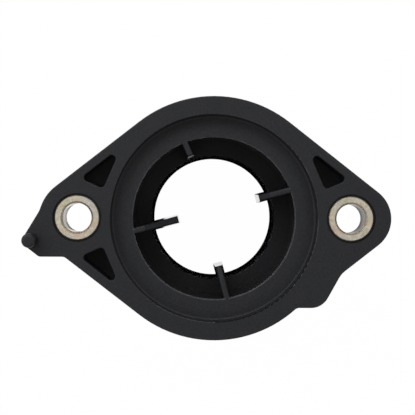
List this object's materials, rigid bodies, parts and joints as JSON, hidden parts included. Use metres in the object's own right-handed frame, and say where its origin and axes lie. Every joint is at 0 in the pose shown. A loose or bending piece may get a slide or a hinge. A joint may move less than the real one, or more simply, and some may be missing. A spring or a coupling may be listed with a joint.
{
  "type": "coolant flange",
  "caption": "Moulded black coolant flange with a hose spigot, a seal recess, ribs in the bore, a locating peg and steel compression sleeves in its bolt ears.",
  "frame": {"origin": "on the axis of the bore, in the plane of the face that meets the engine, midway between the bolt axes", "axes": "+Z out of the face that meets the engine, along the bore; +X from the bore to the bolt of the rounded ear; +Y across both, on the side away from the lug. The hose spigot points to -Z."},
  "size_m": [0.0806, 0.0534, 0.0525],
  "materials": {
    "flange_body": "black glass-filled nylon, moulded, with a fine dull grain",
    "sleeve_left": "turned steel, zinc-plated with a faint yellow tint",
    "sleeve_right": "turned steel, zinc-plated with a faint yellow tint"
  },
  "bodies": {
    "root": {"flange_body": "flange_body", "sleeve_left": "sleeve_left", "sleeve_right": "sleeve_right"}
  },
  "joints": []
}
